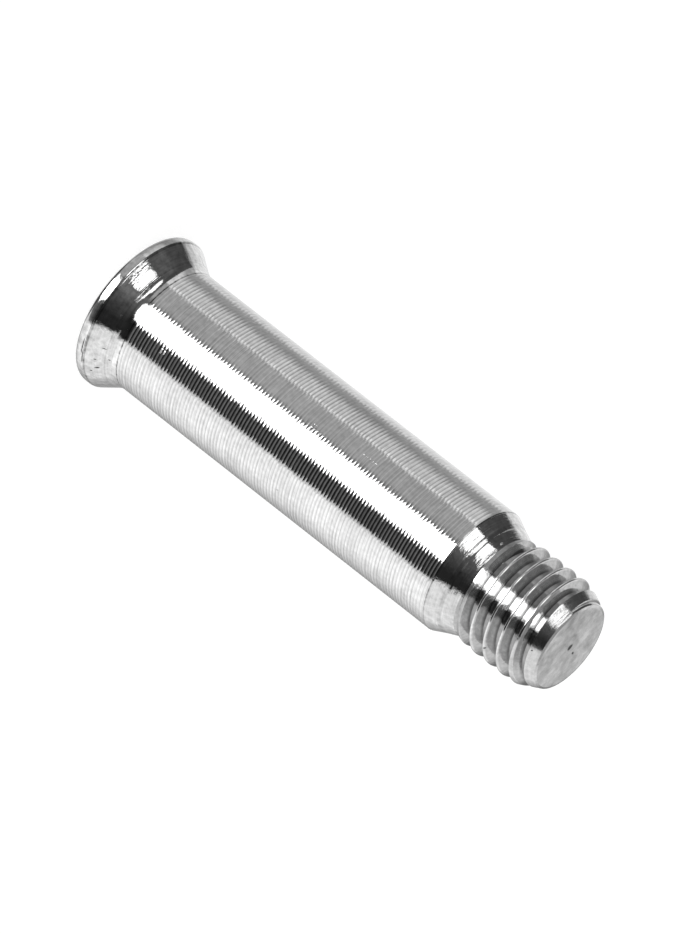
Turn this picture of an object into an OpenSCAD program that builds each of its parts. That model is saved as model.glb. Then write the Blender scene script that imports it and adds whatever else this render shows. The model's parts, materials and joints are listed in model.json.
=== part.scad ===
// One-piece turned steel axle for the wheel of an inline skate.
// A low conical head with a hexagon socket, a plain shank for two bearings and their spacer,
// a tapered shoulder and a threaded end. It stands on its head: the axis is +Z and the origin
// is the centre of the head face. Lengths are in millimetres and angles in degrees.

/* [Head] */
// Diameter of the head at its rim
head_d = 9.9; // [9:0.1:14]
// Height of the rim, from the head face to the start of the cone
rim_h = 0.7; // [0.6:0.05:2]
// Radius of the rounded edge between the head face and the rim
rim_round = 0.4; // [0.1:0.05:0.5]
// Half angle of the cone under the head
cone_angle = 33; // [20:1:50]
// Radius of the fillet between the cone and the shank
cone_fillet = 1.2; // [0.3:0.1:2]

/* [Hexagon socket] */
// Width across the flats
socket_flats = 4; // [3:0.5:5]
// Depth of the six flats below the head face
socket_depth = 3.2; // [2:0.1:6]
// Width of the countersink beyond the corners of the hexagon
socket_lead = 0.15; // [0.05:0.05:0.3]
// Half angle of that countersink
socket_lead_angle = 45; // [30:1:60]
// Half angle of the drilled point at the bottom
drill_angle = 59; // [45:1:70]

/* [Shank] */
// Diameter of the shank, the bore of its bearings
shank_d = 8; // [7.4:0.05:9.2]
// Straight length of the shank, two bearings and the spacer between them
shank_len = 24; // [15:0.5:40]

/* [Shoulder] */
// Half angle of the first taper below the shank
shoulder_angle = 25; // [15:1:45]
// Radial height above the thread's crests at which the first taper meets the second
shoulder_rise = 0.155; // [0.05:0.005:0.3]
// Half angle of the second taper, down to the thread
lead_angle = 22; // [10:1:40]
// Radial depth below the thread's crests at which the second taper ends
lead_drop = 0.2; // [0.05:0.005:0.3]

/* [Thread] */
// Outside diameter over the crests
thread_d = 6.95; // [5:0.05:7.3]
// Pitch of the single right-hand start
thread_pitch = 1; // [0.75:0.05:1.25]
// Length from the end of the lead taper to the end face
thread_len = 5.8; // [4:0.1:12]
// Length over which the groove runs out towards the shoulder
runout_len = 0.6; // [0.3:0.1:1.5]
// Half angle at which the crests rise from the lead taper
rise_angle = 14; // [8:1:30]
// Radial depth below the thread's root at which the chamfer reaches the height of the end face
end_drop = 0.08; // [0:0.01:0.4]
// Half angle of the chamfer at the end
end_angle = 25; // [20:1:45]
// Radial width of the broken edge between the chamfer and the end face
edge_width = 0.12; // [0.05:0.01:0.4]
// Half angle of that edge
edge_angle = 65; // [50:1:75]

/* [Hidden] */
$fn = 96;

// Share of the pitch that is flat at the crest and at the root, and depth in pitches
crest_share = 1 / 8;
root_share = 1 / 4;
depth_in_pitches = 0.6134;
// Facets of the thread: points round one section, and sections in one turn
thread_points = 24;
turn_sections = 20;
// Room that the thread's first section keeps inside the taper's end, and how far it is sunk into it
thread_lap = 0.04;
thread_sink = 0.3;
// Overlap of cutting and filling shapes with the body
overlap = 0.2;
// Half of the angle that one flat of the hexagon takes up
flat_half_angle = 30;

head_r = head_d / 2;
shank_r = shank_d / 2;
crest_r = thread_d / 2;
shoulder_r = crest_r + shoulder_rise;
lead_r = crest_r - lead_drop;
start_r = lead_r - thread_lap;
root_r = crest_r - depth_in_pitches * thread_pitch;
end_r = root_r - end_drop;
face_r = end_r - edge_width;
flat_r = socket_flats / 2;
corner_r = flat_r / cos(flat_half_angle);

// Heights above the head face, from the head to the end
corner_z = rim_h + (head_r - shank_r) / tan(cone_angle);
shank_z = corner_z + cone_fillet * tan(cone_angle / 2);
shoulder_z = shank_z + shank_len;
taper_z = shoulder_z + (shank_r - shoulder_r) / tan(shoulder_angle);
thread_z = taper_z + (shoulder_r - lead_r) / tan(lead_angle);

// Half section of the turned body, radius across and height up
module body_section() {
    polygon([
        [0, 0], [head_r - rim_round, 0], [head_r - rim_round, rim_round], [head_r, rim_round],
        [head_r, rim_h], [shank_r, corner_z], [shank_r, shoulder_z], [shoulder_r, taper_z],
        [lead_r, thread_z], [0, thread_z],
    ]);
    translate([head_r - rim_round, rim_round]) circle(r = rim_round);
    fillet_section();
}

// Filled corner between the cone and the shank, tangent to both
module fillet_section() {
    centre = [shank_r + cone_fillet, shank_z];
    on_cone = centre - cone_fillet * [cos(cone_angle), sin(cone_angle)];
    difference() {
        polygon([on_cone, [shank_r - overlap, corner_z], [shank_r, shank_z], centre]);
        translate(centre) circle(r = cone_fillet);
    }
}

// Hexagon socket with a countersunk mouth and a drilled point
module socket() {
    mouth_r = corner_r + socket_lead;
    lead_h = (mouth_r - flat_r) / tan(socket_lead_angle);
    translate([0, 0, -overlap]) {
        cylinder(r = corner_r, h = socket_depth + overlap, $fn = 6);
        cylinder(r1 = mouth_r + overlap * tan(socket_lead_angle), r2 = flat_r, h = lead_h + overlap);
    }
    translate([0, 0, socket_depth]) cylinder(r1 = flat_r, r2 = 0, h = flat_r / tan(drill_angle));
}

// Radius of the thread at a share of one turn, 0 on the crest and 0.5 in the root
function form_r(turn) =
    let (rise = abs(2 * (turn - floor(turn)) - 1))
    root_r + (crest_r - root_r) * max(0, min(1, (rise - root_share) / (1 - root_share - crest_share)));

// Outer and inner limits of the thread at a height above its start: run-out first, chamfer last
function outer_r(z) =
    min(crest_r, start_r + max(0, z) * tan(rise_angle),
        end_r + (thread_len - z) * tan(end_angle), face_r + (thread_len - z) * tan(edge_angle));
function inner_r(z) = start_r - (start_r - root_r) * max(0, min(1, z / runout_len));

// Threaded end: sections that turn with the helix, joined by triangles
module thread() {
    sections = ceil((thread_len + thread_sink) / thread_pitch * turn_sections);
    heights = [for (s = [0:sections]) (thread_len + thread_sink) * s / sections - thread_sink];
    points = [
        for (z = heights, p = [0:thread_points - 1])
        let (turn = p / thread_points, angle = 360 * (z / thread_pitch + turn))
        let (r = max(min(form_r(turn), outer_r(z)), min(inner_r(z), outer_r(z))))
        [r * cos(angle), r * sin(angle), z]
    ];
    sides = [
        for (s = [0:sections - 1], p = [0:thread_points - 1])
        let (low = s * thread_points, high = low + thread_points, next = (p + 1) % thread_points)
        each [[low + p, high + p, low + next], [low + next, high + p, high + next]]
    ];
    bottom = [for (p = [0:thread_points - 1]) p];
    top = [for (p = [thread_points - 1:-1:0]) sections * thread_points + p];
    translate([0, 0, thread_z]) polyhedron(points, concat(sides, [bottom, top]), convexity = 10);
}

module axle() {
    color("silver") {
        difference() {
            rotate_extrude() body_section();
            socket();
        }
        thread();
    }
}

axle();
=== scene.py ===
"""Looks of an inline skate axle: its turned steel skin, its finishes, a plain studio and the camera."""

import json
import logging
import math
import random
from dataclasses import dataclass, field
from enum import Enum
from typing import Any, ClassVar

import bpy
import numpy as np
from mathutils import Matrix, Vector


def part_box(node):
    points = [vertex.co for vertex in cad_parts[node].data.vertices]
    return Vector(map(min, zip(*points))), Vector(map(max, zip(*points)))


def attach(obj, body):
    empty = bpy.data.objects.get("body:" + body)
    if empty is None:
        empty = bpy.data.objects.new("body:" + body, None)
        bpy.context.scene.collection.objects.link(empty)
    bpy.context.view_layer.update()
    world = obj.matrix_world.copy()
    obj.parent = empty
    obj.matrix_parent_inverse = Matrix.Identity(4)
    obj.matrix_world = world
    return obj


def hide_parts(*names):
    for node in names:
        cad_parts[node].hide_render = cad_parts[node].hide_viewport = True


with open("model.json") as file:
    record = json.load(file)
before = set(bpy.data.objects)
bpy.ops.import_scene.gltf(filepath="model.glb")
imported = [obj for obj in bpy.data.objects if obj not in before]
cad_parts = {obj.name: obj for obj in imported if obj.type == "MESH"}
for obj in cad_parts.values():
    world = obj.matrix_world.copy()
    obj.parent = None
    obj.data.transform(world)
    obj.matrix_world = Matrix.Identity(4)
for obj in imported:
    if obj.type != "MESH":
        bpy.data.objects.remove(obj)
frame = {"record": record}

LOG = logging.getLogger("axle")
MM = 0.001
MICRON = 0.001 * MM
# Direction of the camera round the axis, in degrees from +X
CAMERA_SIDE = 102.0
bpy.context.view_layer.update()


class Zone(Enum):
    """Stretch of the axle's surface that has a finish of its own."""

    SOCKET = 0
    HEAD = 1
    SHANK = 2
    SHOULDER = 3
    THREAD = 4
    CHAMFER = 5
    END = 6


class Flow:
    """A socket in a node tree. Arithmetic on it adds Math nodes."""

    def __init__(self, wiring: "Wiring", socket: bpy.types.NodeSocket) -> None:
        """Keeps the socket and the wiring that it belongs to."""
        self.wiring = wiring
        self.socket = socket

    def __add__(self, other: "Flow | float") -> "Flow":
        """Sum of two values."""
        return self.wiring.maths("ADD", self, other)

    def __radd__(self, other: float) -> "Flow":
        """Sum with a number on the left."""
        return self.wiring.maths("ADD", other, self)

    def __sub__(self, other: "Flow | float") -> "Flow":
        """Difference of two values."""
        return self.wiring.maths("SUBTRACT", self, other)

    def __rsub__(self, other: float) -> "Flow":
        """Difference with a number on the left."""
        return self.wiring.maths("SUBTRACT", other, self)

    def __mul__(self, other: "Flow | float") -> "Flow":
        """Product of two values."""
        return self.wiring.maths("MULTIPLY", self, other)

    def __rmul__(self, other: float) -> "Flow":
        """Product with a number on the left."""
        return self.wiring.maths("MULTIPLY", other, self)

    def __truediv__(self, other: "Flow | float") -> "Flow":
        """Quotient of two values."""
        return self.wiring.maths("DIVIDE", self, other)

    def __rtruediv__(self, other: float) -> "Flow":
        """Quotient with a number on the left."""
        return self.wiring.maths("DIVIDE", other, self)


class Wiring:
    """Adds nodes to one node tree and links them."""

    def __init__(self, tree: bpy.types.NodeTree) -> None:
        """Starts from an empty tree."""
        self.tree = tree
        tree.nodes.clear()

    def node(self, kind: str, settings: dict[str, Any], sockets: dict[Any, Any], out: Any = 0) -> Flow:
        """Adds a node, sets it up and feeds its sockets.

        Args:
            kind: Blender's type name of the node.
            settings: Properties that are set first; "stops" fills a ramp with (place, grey) pairs.
            sockets: Values or flows by the input's name or number.
            out: Name or number of the output that is returned.

        Returns:
            The chosen output, or the last input where the node has none.
        """
        node = self.tree.nodes.new(kind)
        for name, value in settings.items():
            if name == "stops":
                self.fill_ramp(node.color_ramp, value)
            else:
                setattr(node, name, value)
        for name, value in sockets.items():
            if isinstance(value, Flow):
                self.tree.links.new(value.socket, node.inputs[name])
            else:
                node.inputs[name].default_value = value
        return Flow(self, node.outputs[out] if node.outputs else node.inputs[0])

    @staticmethod
    def fill_ramp(ramp: bpy.types.ColorRamp, stops: list[tuple[float, float]]) -> None:
        """Gives a ramp its stops.

        Args:
            ramp: Colour ramp of a new node, with Blender's two stops.
            stops: Place from 0 to 1 and grey level of each stop, in order.
        """
        while len(ramp.elements) < len(stops):
            ramp.elements.new(1.0)
        for element, (place, grey) in zip(ramp.elements, stops):
            element.position = place
            element.color = (grey, grey, grey, 1.0)

    def maths(self, operation: str, first: Flow | float, second: Flow | float = 0.0) -> Flow:
        """One Math node on two values."""
        return self.node("ShaderNodeMath", {"operation": operation}, {0: first, 1: second})

    def vector_maths(self, operation: str, sockets: dict[Any, Any], out: Any = 0) -> Flow:
        """One Vector Math node."""
        return self.node("ShaderNodeVectorMath", {"operation": operation}, sockets, out)

    def ease(self, value: Flow, low: float, high: float) -> Flow:
        """Smooth step from 0 at low to 1 at high, either way round.

        Args:
            value: What is stepped.
            low: Value at which the result is 0.
            high: Value at which the result is 1.

        Returns:
            The step, between 0 and 1.
        """
        settings = {"interpolation_type": "SMOOTHSTEP"}
        if low < high:
            return self.node("ShaderNodeMapRange", settings, {0: value, 1: low, 2: high, 3: 0.0, 4: 1.0})
        return self.node("ShaderNodeMapRange", settings, {0: value, 1: high, 2: low, 3: 1.0, 4: 0.0})

    def blend(self, share: Flow, first: Flow | float, second: Flow | float) -> Flow:
        """Value that goes from the first to the second as the share goes from 0 to 1."""
        return self.node("ShaderNodeMix", {"data_type": "FLOAT"}, {0: share, 2: first, 3: second})


@dataclass(frozen=True)
class Mark:
    """A nick or scuff at a place on the axle, seen from the camera's side.

    The angle is 0 towards the camera and grows towards the picture's upper right. Lengths are in
    millimetres.
    """

    height: float
    angle: float
    radius: float
    length: float
    width: float
    slant: float = 0.0
    depth: float = 0.8


@dataclass(frozen=True)
class Seam:
    """A fine turned ring at a height, with its width, its share of painted edge shade and its depth in
    microns.
    """

    height: float
    width: float
    painted_edge_shade: float
    microns: float = 3.0


@dataclass(frozen=True)
class SteelFinish:
    """Bright steel with fine lathe lines, mottling and marks of use. Lengths are in millimetres.

    Root dirt and shade is the radius of the root and of the crest, and the share of brightness left in the
    root and on the flanks, which is painted shade of the thread's hollows and partly dirt in the roots.
    Where a comb is given, as a height and a pitch, scuffs only touch the ridges that it names.
    """

    name: str
    grey: float
    roughness: float
    roughness_spread: float
    line_pitch: float
    line_microns: float
    mottle_size: float
    mottle_microns: float
    stain: float
    blotch: float = 0.2
    streak: float = 0.2
    speck_size: float = 0.5
    speck_share: float = 0.0
    pits: tuple[Mark, ...] = ()
    scuffs: tuple[Mark, ...] = ()
    seams: tuple[Seam, ...] = ()
    root_dirt_and_shade: tuple[float, float, float, float] | None = None
    comb: tuple[float, float] | None = None
    speck_microns: ClassVar[float] = 3.0
    speck_roughness: ClassVar[float] = 0.25
    speck_darkening: ClassVar[float] = 0.35
    pit_microns: ClassVar[float] = 8.0
    pit_roughness: ClassVar[float] = 0.3
    pit_darkening: ClassVar[float] = 0.8
    scuff_microns: ClassVar[float] = 20.0
    scuff_roughness: ClassVar[float] = 0.4

    def material(self, toward: float) -> bpy.types.Material:
        """Makes the material.

        Args:
            toward: Direction of the camera round the axis, in radians, which marks are placed from.

        Returns:
            The new material.
        """
        made = bpy.data.materials.new(self.name)
        made.use_nodes = True
        wiring = Wiring(made.node_tree)
        place = self.millimetres(wiring)
        lines = self.noise(wiring, place, (0.35, 0.35, 1.0 / self.line_pitch), 3.0)
        mottle = self.noise(wiring, place, (1.0 / self.mottle_size,) * 3, 2.0)
        cloud = self.noise(wiring, place, (0.55, 0.55, 0.4), 3.0)
        specks = self.specks(wiring, place)
        pits = self.marks(wiring, place, self.pits, toward)
        scuffs = self.marks(wiring, place, self.scuffs, toward) * self.ridges(wiring, place)
        grooves, seams = self.rings(wiring, place)
        height = (lines * self.line_microns + mottle * self.mottle_microns
                  - specks * self.speck_microns - pits * self.pit_microns - grooves
                  + scuffs * lines * self.scuff_microns)
        bump = wiring.node("ShaderNodeBump", {}, {"Strength": 1.0, "Distance": MICRON, "Height": height})
        rough = (self.roughness + (cloud - 0.5) * self.roughness_spread
                 + scuffs * self.scuff_roughness + specks * self.speck_roughness + pits * self.pit_roughness)
        # The seams term paints shade as dark lines along the edges and the fillet.
        clean = (1.0 - (cloud - 0.5) * self.stain - (mottle - 0.5) * self.blotch
                 - (lines - 0.5) * self.streak - specks * self.speck_darkening
                 - pits * self.pit_darkening - (mottle * 1.2 + 0.4) * seams)
        # Painted shade: the thread's root and flanks are darkened here by distance from the axis, standing
        # partly for dirt.
        shade = clean * self.dirt_and_shade_share(wiring, place) * self.grey
        grey = wiring.node("ShaderNodeCombineColor", {}, {i: shade for i in range(3)})
        steel = wiring.node(
            "ShaderNodeBsdfPrincipled", {},
            {"Base Color": grey, "Metallic": 1.0, "Roughness": rough, "Normal": bump},
        )
        wiring.node("ShaderNodeOutputMaterial", {}, {"Surface": steel})
        return made

    @staticmethod
    def millimetres(wiring: Wiring) -> Flow:
        """Place on the piece, in millimetres."""
        place = wiring.node("ShaderNodeTexCoord", {}, {}, "Object")
        return wiring.vector_maths("SCALE", {"Vector": place, "Scale": 1.0 / MM})

    def rings(self, wiring: Wiring, place: Flow) -> tuple[Flow | float, Flow | float]:
        """Fine turned rings of the seams, with the painted shade along them.

        Args:
            wiring: Node tree to add to.
            place: Place in millimetres.

        Returns:
            Depth in microns, and share of painted edge shade.
        """
        depth: Flow | float = 0.0
        edge_shade: Flow | float = 0.0
        height = wiring.node("ShaderNodeSeparateXYZ", {}, {0: place}, "Z")
        for seam in self.seams:
            away = wiring.maths("ABSOLUTE", height - seam.height)
            ring = wiring.ease(away, seam.width / 2, seam.width / 6)
            depth = ring * seam.microns + depth
            # Painted shade: a dark line along the ring, standing for the dark reflection of the edge or
            # fillet.
            edge_shade = ring * seam.painted_edge_shade + edge_shade
        return depth, edge_shade

    def dirt_and_shade_share(self, wiring: Wiring, place: Flow) -> Flow | float:
        """Share of the steel's brightness left by painted shade in the thread's hollows and by dirt in the
        roots, by distance from the axis.

        Args:
            wiring: Node tree to add to.
            place: Place in millimetres.

        Returns:
            1 on the crest, less in the root and on the flanks, where shade is painted.
        """
        if self.root_dirt_and_shade is None:
            return 1.0
        root, crest, root_level, flank_level = self.root_dirt_and_shade
        depth = crest - root
        flat = wiring.vector_maths("MULTIPLY", {0: place, 1: (1.0, 1.0, 0.0)})
        radius = wiring.vector_maths("LENGTH", {0: flat}, "Value")
        # Painted shade: the root and the flanks are darker by distance from the axis, standing partly for
        # dirt in the roots.
        shaded_flank = wiring.ease(radius, root, root + 0.35 * depth) * (flank_level - root_level)
        unshaded_crest = wiring.ease(radius, crest - 0.2 * depth, crest - 0.04 * depth) * (1.0 - flank_level)
        return unshaded_crest + shaded_flank + root_level

    def ridges(self, wiring: Wiring, place: Flow) -> Flow | float:
        """Mask of the ridges of the comb.

        Args:
            wiring: Node tree to add to.
            place: Place in millimetres.

        Returns:
            1 on a ridge and 0 between ridges, or 1 everywhere without a comb.
        """
        if self.comb is None:
            return 1.0
        start, pitch = self.comb
        height = wiring.node("ShaderNodeSeparateXYZ", {}, {0: place}, "Z")
        wave = wiring.maths("COSINE", (height - start) * (2 * math.pi / pitch))
        return wiring.ease(wave, -0.1, 0.6)

    @staticmethod
    def noise(wiring: Wiring, place: Flow, scale: tuple[float, float, float], detail: float) -> Flow:
        """Noise with its own scale along each axis.

        Args:
            wiring: Node tree to add to.
            place: Place in millimetres.
            scale: Waves per millimetre along X, Y and Z.
            detail: Octaves of finer noise.

        Returns:
            Noise about 0.5.
        """
        stretched = wiring.node("ShaderNodeMapping", {}, {"Vector": place, "Scale": scale})
        return wiring.node("ShaderNodeTexNoise", {}, {"Vector": stretched, "Scale": 1.0, "Detail": detail})

    def specks(self, wiring: Wiring, place: Flow) -> Flow | float:
        """Small dark pits strewn over the surface.

        Args:
            wiring: Node tree to add to.
            place: Place in millimetres.

        Returns:
            1 inside a pit and 0 away from all.
        """
        if self.speck_share <= 0.0:
            return 0.0
        cells = {"feature": "F1"}
        scale = 1.0 / self.speck_size
        near = wiring.node("ShaderNodeTexVoronoi", cells, {"Vector": place, "Scale": scale}, "Distance")
        pick = wiring.node("ShaderNodeTexVoronoi", cells, {"Vector": place, "Scale": scale}, "Color")
        chosen = wiring.ease(pick, 1.0 - self.speck_share, 1.0 - 0.7 * self.speck_share)
        return wiring.ease(near, 0.22, 0.08) * chosen

    @staticmethod
    def marks(wiring: Wiring, place: Flow, marks: tuple[Mark, ...], toward: float) -> Flow | float:
        """Mask of single marks, each a small ellipsoid on the surface.

        Args:
            wiring: Node tree to add to.
            place: Place in millimetres.
            marks: What to place.
            toward: Direction of the camera round the axis, in radians.

        Returns:
            1 inside a mark and 0 away from all.
        """
        mask: Flow | float = 0.0
        for mark in marks:
            turn = toward - math.radians(mark.angle)
            centre = (mark.radius * math.cos(turn), mark.radius * math.sin(turn), mark.height)
            local = wiring.node(
                "ShaderNodeMapping", {"vector_type": "TEXTURE"},
                {"Vector": place, "Location": centre, "Rotation": (math.radians(mark.slant), 0.0, turn),
                 "Scale": (mark.depth / 2, mark.width / 2, mark.length / 2)},
            )
            distance = wiring.vector_maths("LENGTH", {0: local}, "Value")
            mask = wiring.ease(distance, 1.0, 0.55) + mask
        return mask


@dataclass
class Axle:
    """The turned axle. Lengths are in millimetres, heights are from the head face."""

    head_r: float
    end_height: float
    shank_r: float
    shank_start: float
    shank_len: float
    thread_r: float
    thread_len: float
    socket_depth: float
    rim_h: float = 0.7
    rim_round: float = 0.4
    cone_angle: float = 33.0
    cone_bend: float = 0.47
    cone_ease: float = 3.5
    cone_fillet: float = 1.2
    flat_r: float = 2.0
    socket_lead: float = 0.15
    drill_angle: float = 59.0
    shoulder_rise: float = 0.155
    shoulder_angle: float = 25.0
    lead_drop: float = 0.2
    rise_angle: float = 14.0
    thread_pitch: float = 1.0
    thread_depth: float = 0.6134
    end_drop: float = 0.08
    end_angle: float = 25.0
    edge_width: float = 0.12
    edge_angle: float = 65.0
    runout_len: float = 0.6
    edge_break: float = 0.05
    bend_radius: float = 1.0
    smooth_angle: float = 32.0
    chamfer_skin: float = 0.03
    columns: int = 90
    mark_pitch: float = 0.2337
    mark_microns: float = 11.0
    seed: int = 7
    stations: list[tuple[float, float]] = field(default_factory=list)

    @classmethod
    def from_frame(cls, record: dict[str, Any]) -> "Axle":
        """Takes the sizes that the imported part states.

        Args:
            record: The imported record, with its mounts.

        Returns:
            An axle of the frame's sizes.
        """
        low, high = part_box("axle")
        mounts = {mount["name"]: mount for mount in record["mounts"]}
        shank = mounts["shank"]
        length = shank["dims"]["length_mm"]
        return cls(
            head_r=(high.x - low.x) / 2 / MM,
            end_height=high.z / MM,
            shank_r=shank["dims"]["r_mm"],
            shank_start=shank["pos_m"][2] / MM - length / 2,
            shank_len=length,
            thread_r=mounts["thread"]["dims"]["r_mm"],
            thread_len=mounts["thread"]["dims"]["length_mm"],
            socket_depth=mounts["hex_socket"]["dims"]["length_mm"],
        )

    @property
    def corner_r(self) -> float:
        """Radius to the corners of the hexagon."""
        return self.flat_r / math.cos(math.pi / 6)

    @property
    def mouth_r(self) -> float:
        """Radius of the countersunk mouth of the socket."""
        return self.corner_r + self.socket_lead

    @property
    def bend(self) -> tuple[float, float]:
        """Where the cone eases off a little before its fillet.

        Returns:
            Radius and height.
        """
        slope = math.tan(math.radians(self.cone_angle))
        rise = (self.head_r - self.shank_r) / slope - self.cone_bend
        return self.head_r - rise * slope, self.rim_h + rise

    @property
    def cone_end(self) -> float:
        """Height at which the cone would meet the shank with no fillet."""
        radius, height = self.bend
        return height + (radius - self.shank_r) / math.tan(math.radians(self.cone_angle - self.cone_ease))

    @property
    def marks_start(self) -> float:
        """Height at which the fillet ends and the turning marks start."""
        turn = math.radians(self.cone_angle - self.cone_ease)
        return self.cone_end + self.cone_fillet * math.tan(turn / 2)

    @property
    def mark_step(self) -> float:
        """Distance between two turning marks, as near to mark_pitch as whole marks allow."""
        length = self.shoulder_start - self.marks_start
        return length / round(length / self.mark_pitch)

    @property
    def shoulder_start(self) -> float:
        """Height at which the shank ends."""
        return self.shank_start + self.shank_len

    @property
    def line_height(self) -> float:
        """Height of the line between the two tapers."""
        drop = self.shank_r - self.thread_r - self.shoulder_rise
        return self.shoulder_start + drop / math.tan(math.radians(self.shoulder_angle))

    @property
    def thread_start(self) -> float:
        """Height at which the thread starts."""
        return self.end_height - self.thread_len

    @property
    def root_r(self) -> float:
        """Radius at the root of the thread."""
        return self.thread_r - self.thread_depth * self.thread_pitch

    @property
    def lead_r(self) -> float:
        """Radius of the lead taper where the thread starts."""
        return self.thread_r - self.lead_drop

    @property
    def end_r(self) -> float:
        """Radius at which the chamfer reaches the height of the end face."""
        return self.root_r - self.end_drop

    @property
    def face_r(self) -> float:
        """Radius of the flat end face."""
        return self.end_r - self.edge_width

    def end_limit(self, below: np.ndarray) -> np.ndarray:
        """Outline of the chamfer and its broken edge.

        Args:
            below: Depths below the end face.

        Returns:
            Radius at each depth.
        """
        chamfer = self.end_r + below * math.tan(math.radians(self.end_angle))
        edge = self.face_r + below * math.tan(math.radians(self.edge_angle))
        return np.minimum(chamfer, edge)

    @staticmethod
    def rounded(before: tuple[float, float], corner: tuple[float, float], after: tuple[float, float],
                radius: float, steps: int) -> list[tuple[float, float]]:
        """Rounds one corner of the outline with an arc.

        Args:
            before: Point before the corner.
            corner: The sharp corner.
            after: Point after the corner.
            radius: Radius of the arc.
            steps: Straight pieces in the arc.

        Returns:
            Points of the arc, both ends included.
        """
        apex = Vector(corner)
        back = (Vector(before) - apex).normalized()
        ahead = (Vector(after) - apex).normalized()
        half = back.angle(ahead) / 2
        centre = apex + (back + ahead).normalized() * (radius / math.sin(half))
        start = apex + back * (radius / math.tan(half)) - centre
        end = apex + ahead * (radius / math.tan(half)) - centre
        sweep = start.angle(end)
        points = []
        for step in range(steps + 1):
            share = step / steps
            swung = (start * math.sin((1 - share) * sweep) + end * math.sin(share * sweep)) / math.sin(sweep)
            points.append(tuple(centre + swung))
        return points

    def draw_outline(self) -> None:
        """Lists the half section from the bottom of the socket round the head to the end face."""
        self.stations = (self.socket_outline() + self.head_outline() + self.shank_outline()
                         + self.shoulder_outline() + self.thread_outline())

    def socket_outline(self) -> list[tuple[float, float]]:
        """Socket from its drilled point to its mouth, still round.

        Returns:
            Radius and height of each point.
        """
        tip = self.socket_depth + self.flat_r / math.tan(math.radians(self.drill_angle))
        lead = self.mouth_r - self.corner_r
        return [
            (0.0, tip), (self.flat_r / 2, (tip + self.socket_depth) / 2), (self.flat_r, self.socket_depth),
            (self.corner_r, self.socket_depth), (self.corner_r, lead), (self.mouth_r, 0.0),
        ]

    def head_outline(self) -> list[tuple[float, float]]:
        """Head face, rounded edge, rim, cone and fillet.

        Returns:
            Radius and height of each point.
        """
        face_edge = (self.head_r - self.rim_round, 0.0)
        rim_foot = (self.head_r, 0.0)
        rim_top = (self.head_r, self.rim_h)
        cone_foot = (self.shank_r, self.cone_end)
        shank_foot = (self.shank_r, self.shoulder_start)
        points = [((self.mouth_r + face_edge[0]) / 2, 0.0)]
        points += self.rounded(face_edge, rim_foot, rim_top, self.rim_round, 10)
        points += self.rounded(rim_foot, rim_top, self.bend, self.edge_break, 4)
        points += self.rounded(rim_top, self.bend, cone_foot, self.bend_radius, 2)
        points += self.rounded(self.bend, cone_foot, shank_foot, self.cone_fillet, 12)
        return points

    def shank_outline(self) -> list[tuple[float, float]]:
        """Shank with a shallow round groove for every turn of the lathe tool.

        Returns:
            Radius and height of each point.
        """
        draw = random.Random(self.seed)
        points = []
        for mark in range(round((self.shoulder_start - self.marks_start) / self.mark_step)):
            depth = self.mark_microns * draw.uniform(0.45, 1.5) * MICRON / MM
            start = self.marks_start + mark * self.mark_step
            for share in (0.0, 0.25, 0.5, 0.75):
                if mark or share:
                    sink = depth * (1 - (2 * share - 1) ** 2)
                    points.append((self.shank_r - sink, start + share * self.mark_step))
        return points

    def shoulder_outline(self) -> list[tuple[float, float]]:
        """The two tapers between the shank and the thread.

        Returns:
            Radius and height of each point.
        """
        top = (self.shank_r, self.shoulder_start)
        line = (self.thread_r + self.shoulder_rise, self.line_height)
        start = (self.lead_r, self.thread_start)
        points = self.rounded((top[0], top[1] - 1), top, line, self.edge_break, 4)
        points.append(line)
        for share in (0.35, 0.7):
            points.append((line[0] + (start[0] - line[0]) * share, line[1] + (start[1] - line[1]) * share))
        return points

    def thread_outline(self) -> list[tuple[float, float]]:
        """Rings of the threaded end, still plain, and the end face.

        Returns:
            Radius and height of each point.
        """
        count = round(self.thread_len / self.thread_pitch * self.columns)
        points = [
            (self.lead_r, self.thread_start + self.thread_len * ring / count) for ring in range(count)
        ]
        points += [(self.face_r * share, self.end_height) for share in (1.0, 0.97, 0.8, 0.4, 0.0)]
        return points

    def build(self) -> bpy.types.Object:
        """Turns the outline into a closed skin and cuts the socket and the thread.

        Returns:
            The finished skin.
        """
        self.draw_outline()
        bpy.ops.object.select_all(action="DESELECT")
        bpy.ops.mesh.primitive_plane_add(size=MM, location=(0, 0, 0))
        skin = bpy.context.object
        skin.name = "turned_axle"
        bpy.ops.object.mode_set(mode="EDIT")
        bpy.ops.mesh.select_all(action="SELECT")
        bpy.ops.mesh.merge(type="CENTER")
        here = Vector((self.stations[0][0], 0.0, self.stations[0][1])) * MM
        bpy.ops.transform.translate(value=here)
        for radius, height in self.stations[1:]:
            there = Vector((radius, 0.0, height)) * MM
            bpy.ops.mesh.extrude_vertices_move(TRANSFORM_OT_translate={"value": there - here})
            here = there
        bpy.ops.mesh.select_all(action="SELECT")
        bpy.ops.mesh.spin(steps=self.columns, angle=2 * math.pi, center=(0, 0, 0), axis=(0, 0, 1))
        bpy.ops.mesh.select_all(action="SELECT")
        bpy.ops.mesh.remove_doubles(threshold=MICRON)
        bpy.ops.object.mode_set(mode="OBJECT")
        self.shape(skin)
        self.split_thread(skin)
        bpy.ops.object.mode_set(mode="EDIT")
        bpy.ops.mesh.select_all(action="SELECT")
        bpy.ops.mesh.normals_make_consistent(inside=False)
        bpy.ops.object.mode_set(mode="OBJECT")
        bpy.ops.object.shade_smooth_by_angle(angle=math.radians(self.smooth_angle))
        self.sharpen_marks(skin)
        return skin

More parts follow.
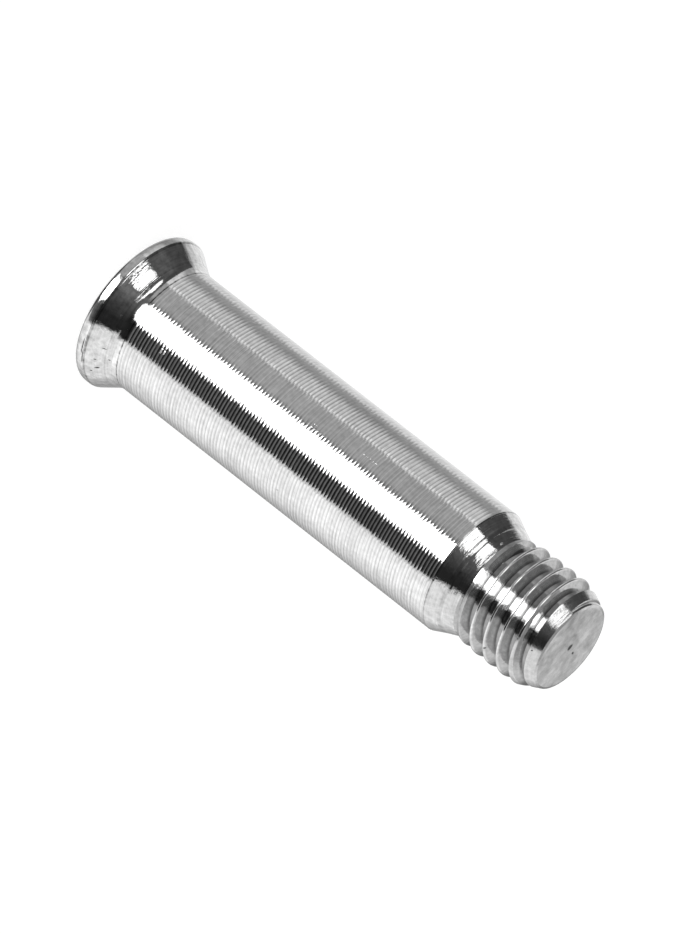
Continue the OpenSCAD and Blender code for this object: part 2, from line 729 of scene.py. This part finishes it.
    def split_thread(self, skin: bpy.types.Object) -> None:
        """Splits the thread's faces along the helix, which rises one ring for each column.

        Args:
            skin: The skin with its thread.
        """
        centres = np.empty(len(skin.data.polygons) * 3)
        skin.data.polygons.foreach_get("center", centres)
        bpy.ops.object.mode_set(mode="EDIT")
        bpy.ops.mesh.select_mode(type="FACE")
        bpy.ops.mesh.select_all(action="DESELECT")
        bpy.ops.object.mode_set(mode="OBJECT")
        skin.data.polygons.foreach_set("select", centres[2::3] > self.thread_start * MM)
        bpy.ops.object.mode_set(mode="EDIT")
        bpy.ops.mesh.quads_convert_to_tris(quad_method="SHORTEST_DIAGONAL", ngon_method="BEAUTY")
        bpy.ops.object.mode_set(mode="OBJECT")

    def sharpen_marks(self, skin: bpy.types.Object) -> None:
        """Keeps the ridge between two turning marks crisp.

        Args:
            skin: The finished skin.
        """
        count = len(skin.data.vertices)
        places = np.empty(count * 3)
        skin.data.vertices.foreach_get("co", places)
        places = places.reshape(count, 3) / MM
        ends = np.empty(len(skin.data.edges) * 2, dtype=np.int32)
        skin.data.edges.foreach_get("vertices", ends)
        low, high = places[ends[0::2]], places[ends[1::2]]
        slack = 0.0005
        radius = np.hypot(low[:, 0], low[:, 1])
        ridge = (np.abs(radius - self.shank_r) < slack) & (np.abs(low[:, 2] - high[:, 2]) < slack)
        ridge &= (low[:, 2] > self.marks_start + slack) & (low[:, 2] < self.shoulder_start - self.edge_break)
        bpy.ops.object.mode_set(mode="EDIT")
        bpy.ops.mesh.select_mode(type="EDGE")
        bpy.ops.mesh.select_all(action="DESELECT")
        bpy.ops.object.mode_set(mode="OBJECT")
        skin.data.edges.foreach_set("select", ridge)
        bpy.ops.object.mode_set(mode="EDIT")
        bpy.ops.mesh.mark_sharp()
        bpy.ops.mesh.select_mode(type="FACE")
        bpy.ops.object.mode_set(mode="OBJECT")

    def shape(self, skin: bpy.types.Object) -> None:
        """Moves the rings of the plain turned skin to the hexagon and the helix.

        Args:
            skin: The turned skin.
        """
        count = len(skin.data.vertices)
        places = np.empty(count * 3)
        skin.data.vertices.foreach_get("co", places)
        places = places.reshape(count, 3) / MM
        angle = np.arctan2(places[:, 1], places[:, 0])
        radius = np.hypot(places[:, 0], places[:, 1])
        height = places[:, 2].copy()
        self.cut_socket(angle, radius, height)
        self.cut_thread(angle, radius, height)
        places = np.stack((radius * np.cos(angle), radius * np.sin(angle), height), axis=1)
        skin.data.vertices.foreach_set("co", (places * MM).ravel())
        skin.data.update()

    def cut_socket(self, angle: np.ndarray, radius: np.ndarray, height: np.ndarray) -> None:
        """Broaches the round socket to a hexagon, with its scalloped countersink.

        Args:
            angle: Angle of each vertex round the axis, in radians.
            radius: Distance of each vertex from the axis, changed in place.
            height: Height of each vertex, changed in place.
        """
        slack = 0.001
        wall = (np.abs(radius - self.corner_r) < slack) & (height < self.socket_depth + slack)
        sixth = math.pi / 3
        hexagon = self.flat_r / np.cos(angle % sixth - sixth / 2)
        rim = wall & (height < self.socket_depth / 2)
        radius[wall] = hexagon[wall]
        height[rim] = self.mouth_r - hexagon[rim]

    def cut_thread(self, angle: np.ndarray, radius: np.ndarray, height: np.ndarray) -> None:
        """Gives the plain rings of the end the form of the thread.

        Args:
            angle: Angle of each vertex round the axis.
            radius: Distance of each vertex from the axis, changed in place.
            height: Height of each vertex.
        """
        slack = 0.001
        along = height - self.thread_start
        ridge = (along > -slack) & (radius > self.lead_r - slack)
        rise = along[ridge]
        form = self.thread_form(angle[ridge] / (2 * math.pi) - rise / self.thread_pitch)
        start = np.minimum(self.thread_r, self.lead_r + rise * math.tan(math.radians(self.rise_angle)))
        outer = np.minimum(start, self.end_limit(self.thread_len - rise))
        inner = self.lead_r - (self.lead_r - self.root_r) * np.clip(rise / self.runout_len, 0, 1)
        radius[ridge] = np.maximum(np.minimum(form, outer), np.minimum(inner, outer))

    def thread_form(self, turn: np.ndarray) -> np.ndarray:
        """Radius of the thread across one pitch, with a rounded crest.

        Args:
            turn: Share of one turn, 0 on the crest.

        Returns:
            Radius at each place.
        """
        crest_share, root_share = 0.125, 0.25
        crest_blend = 0.12
        rise = np.abs(2 * (turn - np.floor(turn)) - 1)
        ramp = np.maximum((rise - root_share) / (1 - root_share - crest_share), 0)
        near_crest = np.maximum(crest_blend - np.abs(ramp - 1), 0) / crest_blend
        ramp = np.minimum(ramp, 1) - near_crest ** 2 * crest_blend / 4
        return self.root_r + (self.thread_r - self.root_r) * ramp

    def dress(self, skin: bpy.types.Object, finishes: dict[Zone, SteelFinish], toward: float) -> None:
        """Gives each stretch of the skin its finish.

        Args:
            skin: The finished skin.
            finishes: Finish of every zone.
            toward: Direction of the camera round the axis, in radians.
        """
        for zone in Zone:
            skin.data.materials.append(finishes[zone].material(toward))
        count = len(skin.data.polygons)
        centres = np.empty(count * 3)
        skin.data.polygons.foreach_get("center", centres)
        centres = centres.reshape(count, 3) / MM
        radius = np.hypot(centres[:, 0], centres[:, 1])
        zones = self.zones(radius, centres[:, 2])
        bpy.ops.object.select_all(action="DESELECT")
        skin.select_set(True)
        bpy.context.view_layer.objects.active = skin
        for zone in Zone:
            skin.data.polygons.foreach_set("select", zones == zone.value)
            skin.active_material_index = zone.value
            bpy.ops.object.mode_set(mode="EDIT")
            bpy.ops.object.material_slot_assign()
            bpy.ops.object.mode_set(mode="OBJECT")

    def zones(self, radius: np.ndarray, height: np.ndarray) -> np.ndarray:
        """Zone number of each place on the skin.

        Args:
            radius: Distance from the axis.
            height: Height above the head face.

        Returns:
            Values of Zone.
        """
        slack = 0.002
        zones = np.full(len(radius), Zone.SHANK.value)
        zones[height < self.marks_start] = Zone.HEAD.value
        zones[height > self.shoulder_start - self.edge_break / 2] = Zone.SHOULDER.value
        zones[height > self.thread_start] = Zone.THREAD.value
        chamfer = radius > self.end_limit(self.end_height - height) - self.chamfer_skin
        zones[(height > self.thread_start) & chamfer] = Zone.CHAMFER.value
        zones[height > self.end_height - slack] = Zone.END.value
        inside = (radius < self.mouth_r) & (height < self.shank_start + self.socket_depth)
        zones[inside | (height < slack)] = Zone.SOCKET.value
        return zones


@dataclass(frozen=True)
class Panel:
    """One stretch of the studio, from an angle to an angle in degrees, and its level of light."""

    start: float
    end: float
    level: float


@dataclass(frozen=True)
class Ring:
    """Panels round the axle at one height of the studio, with their edges leaning by the slant.

    The ring takes over from the ring below it between two angles above the horizon, in degrees.
    """

    rise_from: float
    rise_to: float
    panels: tuple[Panel, ...]
    slant: float = 0.0
    level_at: float = 0.0


@dataclass(frozen=True)
class Strip:
    """One bright strip light, between two angles at a height, whose four sides lean on their own.

    Angles are in degrees. Soft is the width of the edges at its start and its end, and rim is the width of
    the edges below and above it.
    """

    start: float
    end: float
    level_at: float
    start_slant: float
    end_slant: float
    low: float
    high: float
    level: float
    soft: float
    rim: float
    low_tilt: float = 0.0
    high_tilt: float = 0.0


@dataclass(frozen=True)
class Studio:
    """Plain soft studio: panels of light and dark round the axle, a white floor and a white background."""

    toward: float
    floor_size: float = 4.0
    brightest: float = 3.0
    rings: tuple[Ring, ...] = (
        Ring(-90, -80, (Panel(-180, 180, 0.06),)),
        Ring(-72, -64, (
            Panel(-180, -158, 0.38), Panel(-152, -147, 0.50), Panel(-120, -118, 0.80),
            Panel(-100, -75, 0.95), Panel(-63, -57, 0.85), Panel(-50, -27, 0.17),
            Panel(-22, 16, 0.25), Panel(24, 62, 0.47),
            Panel(65, 67, 0.62), Panel(70, 90, 0.44), Panel(106, 114, 0.29), Panel(122, 126, 0.34),
            Panel(131, 142, 0.52), Panel(160, 162, 0.64), Panel(174, 180, 0.58),
        )),
        Ring(-34, -20, (
            Panel(-180, -158, 0.38), Panel(-152, -147, 0.56), Panel(-120, -118, 1.00),
            Panel(-100, -75, 1.28), Panel(-63, -57, 1.20), Panel(-50, -20, 0.015),
            Panel(-14, 20, 0.14), Panel(29, 62, 0.40),
            Panel(65, 67, 1.00), Panel(70, 90, 0.76), Panel(106, 114, 0.37), Panel(122, 126, 0.42),
            Panel(131, 142, 0.86), Panel(160, 162, 1.00), Panel(174, 180, 0.88),
        )),
        Ring(-4, 0, (
            Panel(-180, -152, 0.25), Panel(-140, -58, 0.95), Panel(-48, -14, 0.02), Panel(0, 22, 0.14),
            Panel(30, 60, 0.10), Panel(66, 122, 0.07), Panel(131, 160, 0.65), Panel(170, 180, 0.30),
        )),
        Ring(12, 20, (
            Panel(-180, -162, 0.57), Panel(-150, -55, 0.95), Panel(-47, -28, 0.022), Panel(-10, -9, 0.06),
            Panel(5, 6, 0.10), Panel(20, 24, 0.18), Panel(30, 66, 0.10), Panel(72, 80, 0.12),
            Panel(95, 128, 0.07), Panel(138, 160, 0.92), Panel(172, 180, 0.57),
        ), -0.48, 28.0),
    )
    overhead: Ring = Ring(47, 52, (
        Panel(-90, -25, 0.60), Panel(-10, 10, 0.36), Panel(25, 90, 0.44),
    ))
    strips: tuple[Strip, ...] = (
        Strip(
            start=-15.0, end=16.0, level_at=-25.0, start_slant=0.25, end_slant=-0.25, low=-46.0, high=2.0,
            level=5.0, soft=10.0, rim=10.0,
        ),
        Strip(
            start=-18.0, end=18.0, level_at=-47.0, start_slant=0.0, end_slant=0.0, low=-62.0, high=-46.0,
            level=7.0, soft=5.0, rim=5.0,
        ),
        Strip(
            start=-21.5, end=22.0, level_at=-36.0, start_slant=0.5, end_slant=-0.5, low=-43.0, high=-30.0,
            level=5.0, soft=8.0, rim=5.0,
        ),
        Strip(
            start=18.0, end=66.0, level_at=25.0, start_slant=-1.3, end_slant=0.6, low=9.5, high=33.5,
            level=1.8, soft=5.0, rim=4.0, high_tilt=-0.2,
        ),
        Strip(
            start=23.5, end=62.0, level_at=35.0, start_slant=1.2, end_slant=0.3, low=41.5, high=58.0,
            level=3.0, soft=9.0, rim=3.0, low_tilt=-0.2,
        ),
    )

    def build(self) -> None:
        """Makes the floor and the world."""
        self.lay_floor()
        self.light_world()

    def lay_floor(self) -> None:
        """White floor at the head face, which keeps the axle's soft shadow."""
        bpy.ops.object.select_all(action="DESELECT")
        bpy.ops.mesh.primitive_plane_add(size=self.floor_size, location=(0, 0, 0))
        floor = bpy.context.object
        floor.name = "floor"
        floor.visible_glossy = False
        made = bpy.data.materials.new("white_floor")
        made.use_nodes = True
        wiring = Wiring(made.node_tree)
        paint = wiring.node("ShaderNodeBsdfDiffuse", {}, {"Color": (0.45, 0.45, 0.45, 1.0)})
        glow = wiring.node("ShaderNodeEmission", {}, {"Color": (0.8, 0.8, 0.8, 1.0), "Strength": 1.0})
        both = wiring.node("ShaderNodeAddShader", {}, {0: paint, 1: glow})
        camera = wiring.node("ShaderNodeLightPath", {}, {}, "Is Camera Ray")
        seen = wiring.node("ShaderNodeMixShader", {}, {0: camera, 1: paint, 2: both})
        wiring.node("ShaderNodeOutputMaterial", {}, {"Surface": seen})
        floor.data.materials.append(made)

    def show(self, wiring: Wiring, ring: Ring, angle: Flow, lift: Flow, span: float) -> Flow:
        """Level of light of one ring of panels.

        Args:
            wiring: Node tree of the world.
            ring: Panels in order.
            angle: Angle of the ray across the panels, in degrees.
            lift: Angle of the ray above the horizon, in degrees.
            span: Angle from the middle to either end of the ramp.

        Returns:
            Level of light.
        """
        stops = []
        for panel in ring.panels:
            for edge in (panel.start, panel.end):
                stops.append(((edge + span) / (2 * span), panel.level / self.brightest))
        place = angle - (lift - ring.level_at) * ring.slant
        share = (place + span) / (2 * span)
        return wiring.node("ShaderNodeValToRGB", {"stops": stops}, {"Fac": share}) * self.brightest

    @staticmethod
    def cover(wiring: Wiring, strip: Strip, angle: Flow, lift: Flow) -> Flow:
        """Mask of one strip light.

        Args:
            wiring: Node tree of the world.
            strip: The light.
            angle: Angle of the ray round the axle, in degrees.
            lift: Angle of the ray above the horizon, in degrees.

        Returns:
            1 inside the light and 0 outside, with soft edges.
        """
        half, rim = strip.soft / 2, strip.rim / 2
        above = lift - strip.level_at
        left = wiring.ease(angle - above * strip.start_slant, strip.start - half, strip.start + half)
        right = wiring.ease(angle - above * strip.end_slant, strip.end + half, strip.end - half)
        bottom = wiring.ease(lift - angle * strip.low_tilt, strip.low - rim, strip.low + rim)
        top = wiring.ease(lift - angle * strip.high_tilt, strip.high + rim, strip.high - rim)
        return left * right * bottom * top

    def light_world(self) -> None:
        """World that shows the studio's panels in the steel and plain white behind it."""
        world = bpy.data.worlds.new("studio")
        bpy.context.scene.world = world
        world.use_nodes = True
        wiring = Wiring(world.node_tree)
        ray = wiring.node("ShaderNodeTexCoord", {}, {}, "Generated")
        ahead = (math.cos(self.toward), math.sin(self.toward), 0.0)
        aside = (math.sin(self.toward), -math.cos(self.toward), 0.0)
        front = wiring.vector_maths("DOT_PRODUCT", {0: ray, 1: ahead}, "Value")
        side = wiring.vector_maths("DOT_PRODUCT", {0: ray, 1: aside}, "Value")
        up = wiring.vector_maths("DOT_PRODUCT", {0: ray, 1: (0.0, 0.0, 1.0)}, "Value")
        degrees = 180.0 / math.pi
        lift = wiring.maths("ARCSINE", up) * degrees
        angle = wiring.maths("ARCTAN2", side, front) * degrees
        level = self.show(wiring, self.rings[0], angle, lift, 200.0)
        for ring in self.rings[1:]:
            share = wiring.ease(lift, ring.rise_from, ring.rise_to)
            level = wiring.blend(share, level, self.show(wiring, ring, angle, lift, 200.0))
        across = wiring.maths("ARCSINE", side) * degrees
        share = wiring.ease(lift, self.overhead.rise_from, self.overhead.rise_to)
        level = wiring.blend(share, level, self.show(wiring, self.overhead, across, lift, 100.0))
        for strip in self.strips:
            level = wiring.blend(self.cover(wiring, strip, angle, lift), level, strip.level)
        path = wiring.node("ShaderNodeLightPath", {}, {}, "Is Camera Ray")
        clear = wiring.node("ShaderNodeLightPath", {}, {}, "Is Transmission Ray")
        shown = wiring.blend(wiring.maths("MAXIMUM", path, clear), level, 1.0)
        light = wiring.node("ShaderNodeBackground", {}, {"Color": (1, 1, 1, 1), "Strength": shown})
        wiring.node("ShaderNodeOutputWorld", {}, {"Surface": light})


@dataclass(frozen=True)
class View:
    """Camera of the photograph: where it stands and how it is rolled. Lengths are in millimetres."""

    toward: float
    distance: float = 561.0
    lift: float = 24.9
    focal_pixels: float = 10039.0
    frame_height: float = 934.0
    roll: float = 37.971
    target_height: float = 16.67
    target_aside: float = 0.381

    def build(self) -> None:
        """Adds the camera and makes it the scene's."""
        data = bpy.data.cameras.new("photo_view")
        camera = bpy.data.objects.new("photo_view", data)
        bpy.context.scene.collection.objects.link(camera)
        bpy.context.scene.camera = camera
        data.lens = self.focal_pixels * data.sensor_width / self.frame_height
        data.clip_start = 0.01
        data.clip_end = 20.0
        lift, roll = math.radians(self.lift), math.radians(self.roll)
        near = Vector((math.cos(self.toward), math.sin(self.toward), 0.0))
        aside = Vector((math.sin(self.toward), -math.cos(self.toward), 0.0))
        axis = Vector((0.0, 0.0, 1.0))
        back = near * math.cos(lift) + axis * math.sin(lift)
        along = axis * math.cos(lift) - near * math.sin(lift)
        right = along * math.cos(roll) + aside * math.sin(roll)
        above = aside * math.cos(roll) - along * math.sin(roll)
        target = axis * self.target_height + aside * self.target_aside
        turned = Matrix((right, above, back)).transposed().to_4x4()
        camera.matrix_world = Matrix.Translation((target + back * self.distance) * MM) @ turned


def axle_finishes(axle: Axle) -> dict[Zone, SteelFinish]:
    """Finish of every zone.

    Args:
        axle: The axle, for the heights of its lines.

    Returns:
        Finishes by zone.
    """
    head_pits = (
        Mark(1.44, -62.8, 4.52, 0.42, 0.14, 20.0), Mark(1.67, -41.6, 4.39, 0.30, 0.07),
        Mark(1.32, -53.8, 4.59, 0.20, 0.08), Mark(2.03, -51.1, 4.18, 0.18, 0.10),
        Mark(1.13, -67.2, 4.70, 0.15, 0.12), Mark(0.60, -45.0, 4.95, 0.09, 1.6),
        Mark(0.69, -54.0, 4.95, 0.08, 1.2),
    )
    shank_scuffs = (
        Mark(4.96, -14.5, 4.0, 0.60, 0.35), Mark(15.65, 12.1, 4.0, 1.3, 0.07),
        Mark(15.17, 15.4, 4.0, 0.35, 0.07), Mark(19.13, 20.8, 4.0, 1.35, 0.07),
    )
    thread_pits = (
        Mark(30.71, -58.5, 3.42, 0.15, 0.15), Mark(31.65, 72.0, 3.43, 0.13, 0.13),
        Mark(29.01, -64.0, 3.40, 0.10, 0.14), Mark(32.91, -62.5, 3.44, 0.12, 0.12),
        Mark(33.12, -71.2, 3.43, 0.12, 0.15), Mark(33.44, -27.6, 3.19, 0.12, 0.12),
        Mark(32.52, 66.3, 3.43, 0.10, 0.12),
    )
    end_pits = (
        Mark(axle.end_height, 0.0, 0.05, 0.2, 0.55, 0.0, 0.42),
        Mark(axle.end_height, 192.0, 0.75, 0.2, 0.2, 0.0, 0.3),
    )
    # Dark rings at the rim, the cone's bend and the fillet's end: painted shade of these edges, with shallow
    # grooves.
    head_seams = (
        Seam(axle.rim_h, 0.05, 0.4), Seam(axle.rim_h + 0.08, 0.14, 0.4),
        Seam(axle.bend[1] + 0.1, 0.12, 0.15, 1.0), Seam(axle.marks_start - 0.03, 0.16, 0.6),
    )
    # Dark rings at the taper line and the shank's corner: painted shade of these edges, with shallow
    # grooves.
    shoulder_seams = (
        Seam(axle.line_height + 0.08, 0.40, 0.15, 9.0), Seam(axle.shoulder_start + 0.03, 0.10, 0.4),
    )
    return {
        Zone.SOCKET: SteelFinish(
            "socket_steel", grey=0.6, roughness=0.22, roughness_spread=0.10, line_pitch=0.08,
            line_microns=2.0, mottle_size=0.4, mottle_microns=6.0, stain=0.25,
        ),
        Zone.HEAD: SteelFinish(
            "head_steel", grey=0.72, roughness=0.06, roughness_spread=0.05, line_pitch=0.09,
            line_microns=1.5, mottle_size=0.3, mottle_microns=6.0, stain=0.5, blotch=1.0, streak=0.5,
            speck_size=0.4, speck_share=0.2, pits=head_pits, seams=head_seams,
        ),
        Zone.SHANK: SteelFinish(
            "shank_steel", grey=0.72, roughness=0.05, roughness_spread=0.03, line_pitch=0.06,
            line_microns=2.5, mottle_size=0.3, mottle_microns=6.0, stain=0.28, blotch=0.5, streak=0.7,
            speck_size=0.45, speck_share=0.1, scuffs=shank_scuffs, comb=(axle.marks_start, axle.mark_step),
        ),
        Zone.SHOULDER: SteelFinish(
            "shoulder_steel", grey=0.72, roughness=0.06, roughness_spread=0.05, line_pitch=0.08,
            line_microns=6.0, mottle_size=0.3, mottle_microns=9.0, stain=0.3, blotch=0.7, streak=0.4,
            speck_size=0.4, speck_share=0.1, seams=shoulder_seams,
            scuffs=(Mark(28.0, 41.0, 3.37, 0.12, 0.25),),
        ),
        Zone.THREAD: SteelFinish(
            "thread_steel", grey=0.72, roughness=0.10, roughness_spread=0.06, line_pitch=0.12,
            line_microns=2.0, mottle_size=0.28, mottle_microns=8.0, stain=0.3, blotch=0.6, streak=0.3,
            speck_size=0.4, speck_share=0.14, pits=thread_pits,
            # Painted shade of the thread's root and flanks, partly dirt in the roots.
            root_dirt_and_shade=(axle.root_r, axle.thread_r, 0.42, 0.70),
        ),
        Zone.CHAMFER: SteelFinish(
            "chamfer_steel", grey=0.66, roughness=0.15, roughness_spread=0.08, line_pitch=0.12,
            line_microns=4.0, mottle_size=0.3, mottle_microns=8.0, stain=0.3, blotch=0.6, streak=0.4,
            speck_size=0.4, speck_share=0.1, pits=thread_pits,
        ),
        Zone.END: SteelFinish(
            "end_steel", grey=0.72, roughness=0.18, roughness_spread=0.12, line_pitch=0.5,
            line_microns=2.0, mottle_size=0.45, mottle_microns=9.0, stain=1.2, blotch=1.0, streak=0.3,
            pits=end_pits,
        ),
    }


def main() -> None:
    """Builds the axle, its finishes, the studio and the camera."""
    logging.basicConfig(level=logging.INFO, format="%(name)s: %(message)s")
    bpy.context.scene.view_settings.view_transform = "Standard"
    toward = math.radians(CAMERA_SIDE)
    axle = Axle.from_frame(frame["record"])
    skin = axle.build()
    axle.dress(skin, axle_finishes(axle), toward)
    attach(skin, "root")
    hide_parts("axle")
    LOG.info("%s: %d vertices", skin.name, len(skin.data.vertices))
    Studio(toward).build()
    View(toward).build()


if __name__ == "__main__":
    main()
